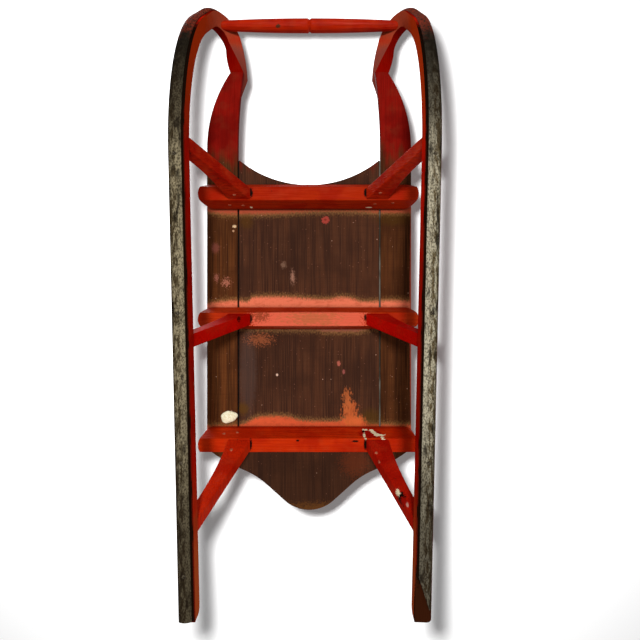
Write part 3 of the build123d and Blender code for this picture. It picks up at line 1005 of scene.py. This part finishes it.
@dataclass
class Fastenings:
    """Nail heads on the cleats, knees, boards and shoes, seated on the solids by rays."""

    nodes: Nodes
    radius: float = 2.5
    rise: float = 0.6
    sole_rise: float = 0.25
    sink: float = 0.4
    turns: int = 16
    board_columns: tuple[float, ...] = (35.0, 95.0, 124.0, 148.0)
    shoe_rows: tuple[float, ...] = (-150.0, 47.0, 232.0, 372.0)
    shoe_middle: float = 157.7
    shoe_splay: float = -0.0232
    clear: float = 60.0

    def seat(self, node: str, start: Vector, way: Vector) -> Seat:
        """Find where a ray meets a solid.

        Args:
            node: the solid's name.
            start: the ray's start in millimetres.
            way: the ray's direction.

        Returns:
            The point in millimetres and the face's direction.
        """
        met, point, normal, _ = self.nodes[node].ray_cast(start * MM, way.normalized())
        if not met:
            raise ValueError(f"a nail misses {node}")
        return point / MM, normal

    def seen(self, node: str, pixel: Span) -> Seat:
        """Find where the main camera's ray through a pixel of the picture meets a solid."""
        across, down = ((p - c) / FOCAL for p, c in zip(pixel, PRINCIPAL))
        return self.seat(node, STAND, Vector((across, down, 1.0)))

    def heads(
        self, name: str, seats: list[Seat], rise: float, finish: bpy.types.Material
    ) -> bpy.types.Object:
        """Make domed heads: rings of radius R sin(t) at a height of H cos(t) over the face, t from 0 to 90.

        Two more rings sink the rim into the face and close it there.

        Args:
            name: piece name.
            seats: points and directions of the heads.
            rise: height H of the heads in millimetres.
            finish: material of the heads.

        Returns:
            The piece.
        """
        centre = np.array([point for point, _ in seats])
        up = np.array([normal for _, normal in seats])
        side = np.cross(up, np.where(np.abs(up[:, :1]) > 0.9, [[0.0, 1.0, 0.0]], [[1.0, 0.0, 0.0]]))
        side /= np.linalg.norm(side, axis=1, keepdims=True)
        other = np.cross(up, side)
        bow = np.radians([0.0, 30.0, 55.0, 75.0, 90.0, 90.0, 90.0])
        ring = self.radius * np.sin(bow)
        ring[-1] = 0.0
        level = rise * np.cos(bow)
        level[-2:] = -self.sink
        turn = np.linspace(0.0, 2 * math.pi, self.turns, endpoint=False)
        flat = side[:, None] * np.cos(turn)[:, None] + other[:, None] * np.sin(turn)[:, None]
        points = centre[:, None, None] + ring[:, None, None] * flat[:, None]
        points = points + level[:, None, None] * up[:, None, None]
        return grid_mesh(name, points, finish)

    def painted(self) -> list[Seat]:
        """Seats of the painted nails under the cleats and knees, by pixels of the picture.

        Returns:
            The seats.
        """
        pixels = (
            ("knee_front_right", (234.5, 195.0)), ("knee_front_left", (380.3, 193.0)),
            ("cleat_front", (229.8, 205.0)), ("cleat_front", (243.2, 205.5)),
            ("cleat_front", (375.0, 204.0)), ("cleat_front", (392.8, 203.0)),
            ("cleat_rear", (224.0, 433.7)), ("cleat_rear", (237.4, 432.5)),
            ("knee_rear_right", (231.2, 449.8)),
            ("knee_rear_left", (376.5, 453.0)), ("knee_rear_left", (379.0, 461.9)),
        )
        return [self.seen(node, pixel) for node, pixel in pixels]

    def boards(self) -> list[Seat]:
        """Seats of the nails on the deck's top: one row over each cleat.

        Returns:
            The seats.
        """
        down = Vector(DOWN)
        seats = []
        for side, sign in (("left", 1.0), ("right", -1.0)):
            for column in self.board_columns:
                board = "deck_board_centre" if column < -SEAM[1] else f"deck_board_{side}"
                rows = [Vector((sign * column, row, DECK_TOP + self.clear)) for row in CLEAT_MIDDLES]
                seats += [self.seat(board, start, down) for start in rows]
        return seats

    def soles(self) -> list[Seat]:
        """Seats of the nails that hold the shoes, along the straps' middle lines.

        Returns:
            The seats.
        """
        up = Vector(UP)
        seats = []
        for side, sign in (("left", 1.0), ("right", -1.0)):
            for row in self.shoe_rows:
                across = sign * (self.shoe_middle + self.shoe_splay * row)
                seats.append(self.seat(f"shoe_{side}", Vector((across, row, -self.clear)), up))
        return seats

    def build(self) -> None:
        """Drive all the nails."""
        painted = Mottled("painted_nail", "#A83418", "#C67A5C", 1.6, 0.5).material()
        rusty = Mottled("rusty_nail", "#3C1A10", "#5A2416", 2.0, 0.7, 0.3).material()
        worn = Mottled("worn_nail", "#2A2218", "#5E5442", 2.0, 0.6, 0.3).material()
        keep(self.heads("knee_nails", self.painted(), self.rise, painted))
        keep(self.heads("board_nails", self.boards(), self.rise, rusty))
        keep(self.heads("shoe_nails", self.soles(), self.sole_rise, worn))


@dataclass
class Stage:
    """Floor, sheet behind the sled, lamps, world and camera."""

    floor_size: float = 6.0
    sheet_height: float = 0.40
    ambient: float = 0.25
    aimed_at: Triple = (0.0, 0.0, 0.1)

    def plane(self, name: str, size: float, level: float, material: bpy.types.Material) -> bpy.types.Object:
        """Make a level square sheet that only the camera sees, and that throws no shadow.

        Args:
            name: sheet name.
            size: its side in metres.
            level: its height in metres.
            material: its finish.

        Returns:
            The sheet.
        """
        mesh = bpy.data.meshes.new(name)
        half = size / 2
        corners = [(-half, -half, level), (half, -half, level), (half, half, level), (-half, half, level)]
        mesh.from_pydata(corners, [], [(0, 1, 2, 3)])
        mesh.materials.append(material)
        sheet = bpy.data.objects.new(name, mesh)
        bpy.context.scene.collection.objects.link(sheet)
        sheet.visible_shadow = sheet.visible_diffuse = sheet.visible_glossy = False
        return sheet

    def floor(self) -> None:
        """Pale floor under the runners, clear from below so that the main camera sees through it."""
        material = bare_material("pale_floor")
        tree = material.node_tree
        white = add(tree, "ShaderNodeBsdfDiffuse", {"Color": linear("#EDEDEB")}).outputs[0]
        clear = add(tree, "ShaderNodeBsdfTransparent").outputs[0]
        under = add(tree, "ShaderNodeNewGeometry").outputs["Backfacing"]
        mixed = add(tree, "ShaderNodeMixShader", {0: under, 1: white, 2: clear}).outputs[0]
        add(tree, "ShaderNodeOutputMaterial", {"Surface": mixed})
        self.plane("floor", self.floor_size, 0.0, material)

    def sheet(self) -> bpy.types.Object:
        """White sheet behind the sled that shows only through the floor and takes the sled's soft shadow.

        Returns:
            The sheet.
        """
        material = bare_material("white_sheet")
        tree = material.node_tree
        lit = add(tree, "ShaderNodeBsdfDiffuse", {"Color": linear("#FAFAFA")}).outputs[0]
        clear = add(tree, "ShaderNodeBsdfTransparent").outputs[0]
        through = add(tree, "ShaderNodeLightPath").outputs["Transparent Depth"]
        shown = add(tree, "ShaderNodeMath", {0: through, 1: 0.5}, operation="GREATER_THAN").outputs[0]
        mixed = add(tree, "ShaderNodeMixShader", {0: shown, 1: clear, 2: lit}).outputs[0]
        add(tree, "ShaderNodeOutputMaterial", {"Surface": mixed})
        return self.plane("sheet", self.floor_size, self.sheet_height, material)

    def world(self) -> None:
        """White to the camera, and a plain soft level of light otherwise."""
        world = bpy.data.worlds.new("studio")
        world.use_nodes = True
        tree = world.node_tree
        tree.nodes.clear()
        seen = add(tree, "ShaderNodeLightPath").outputs["Is Camera Ray"]
        ports = {"Value": seen, "To Min": self.ambient, "To Max": 1.0}
        level = add(tree, "ShaderNodeMapRange", ports).outputs[0]
        sky = add(tree, "ShaderNodeBackground", {"Color": linear("#FFFFFF"), "Strength": level}).outputs[0]
        add(tree, "ShaderNodeOutputWorld", {"Surface": sky})
        bpy.context.scene.world = world

    def hang(self, data: bpy.types.Light, place: Triple, aim: Vector) -> bpy.types.Object:
        """Put a lamp at its place and turn it to its aim.

        Args:
            data: the lamp's light.
            place: metres in the part's frame.
            aim: the way that it shines.

        Returns:
            The lamp.
        """
        lamp = bpy.data.objects.new(data.name, data)
        lamp.location = place
        lamp.rotation_mode = "QUATERNION"
        lamp.rotation_quaternion = aim.to_track_quat("-Z", "Y")
        bpy.context.scene.collection.objects.link(lamp)
        return lamp

    def lamp(self, name: str, place: Triple, size: float, level: float) -> bpy.types.Object:
        """Hang a square lamp aimed at the sled.

        Args:
            name: lamp name.
            place: metres in the part's frame.
            size: the lamp's side in metres.
            level: how bright it makes a white face that looks at it, where 1 is white. A lamp of P watts at
                a distance d gives P / (pi d)^2.

        Returns:
            The lamp.
        """
        data = bpy.data.lights.new(name, "AREA")
        data.size = size
        aim = Vector(self.aimed_at) - Vector(place)
        data.energy = level * (math.pi * aim.length) ** 2
        return self.hang(data, place, aim)

    def sun(self, name: str, place: Triple, spread: float, level: float) -> bpy.types.Object:
        """Add a far lamp, even over the whole sled.

        Args:
            name: lamp name.
            place: a point that its light comes from, in metres.
            spread: the lamp's width in degrees as the sled sees it.
            level: how bright it makes a white face that looks at it, where 1 is white.

        Returns:
            The lamp.
        """
        data = bpy.data.lights.new(name, "SUN")
        data.angle = math.radians(spread)
        data.energy = level * math.pi
        return self.hang(data, place, -Vector(place))

    def reserve(self, lamp: bpy.types.Object, sheet: bpy.types.Object, lighting: Lighting) -> None:
        """Let a lamp light only the sheet, or all but the sheet.

        Args:
            lamp: the lamp.
            sheet: the sheet behind the sled.
            lighting: what the lamp lights.
        """
        lit = bpy.data.collections.new(f"{lamp.name}_lit")
        lit.objects.link(sheet)
        lit.collection_objects[0].light_linking.link_state = lighting.value
        lamp.light_linking.receiver_collection = lit

    def camera(self) -> None:
        """Stand the camera under the sled, looking up, with the curls at the top of the picture."""
        data = bpy.data.cameras.new("camera")
        data.lens = SENSOR * FOCAL / PICTURE
        data.sensor_width = SENSOR
        data.shift_x = 0.5 - PRINCIPAL[0] / PICTURE
        data.shift_y = PRINCIPAL[1] / PICTURE - 0.5
        camera = bpy.data.objects.new("camera", data)
        camera.location = STAND * MM
        camera.rotation_euler = (math.pi, 0.0, 0.0)
        bpy.context.scene.collection.objects.link(camera)
        bpy.context.scene.camera = camera

    def build(self) -> None:
        """Set up the whole stage."""
        self.floor()
        sheet = self.sheet()
        self.world()
        self.camera()
        lamps = [
            self.sun("key_below", place=(0.03, -0.30, -1.50), spread=8.0, level=0.67),
            self.lamp("left_below", place=(-1.30, 0.0, -0.80), size=1.0, level=0.12),
            self.lamp("right_below", place=(1.30, 0.0, -0.80), size=1.0, level=0.12),
            self.lamp("key_above", place=(-1.10, -1.30, 1.90), size=1.2, level=0.55),
            self.lamp("fill_above", place=(1.40, 0.90, 1.60), size=1.6, level=0.22),
        ]
        for lamp in lamps:
            self.reserve(lamp, sheet, Lighting.ALL_BUT_SHEET)
        by_camera = self.lamp("sheet_lamp", place=(-0.030, -0.043, -0.60), size=0.065, level=5.6)
        self.reserve(by_camera, sheet, Lighting.ONLY_SHEET)
        bpy.context.scene.view_settings.view_transform = "Standard"


def main() -> None:
    """Load the solids, dress them, add the small pieces and set the stage."""
    logging.basicConfig(level=logging.INFO, format="%(name)s %(message)s")
    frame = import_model()
    nodes = frame["nodes"]
    deck = Deck(nodes)
    deck.dress()
    deck.build()
    Knees(nodes).dress()
    Runners(nodes).dress()
    Fastenings(nodes).build()
    Stage().build()


if __name__ == "__main__":
    main()
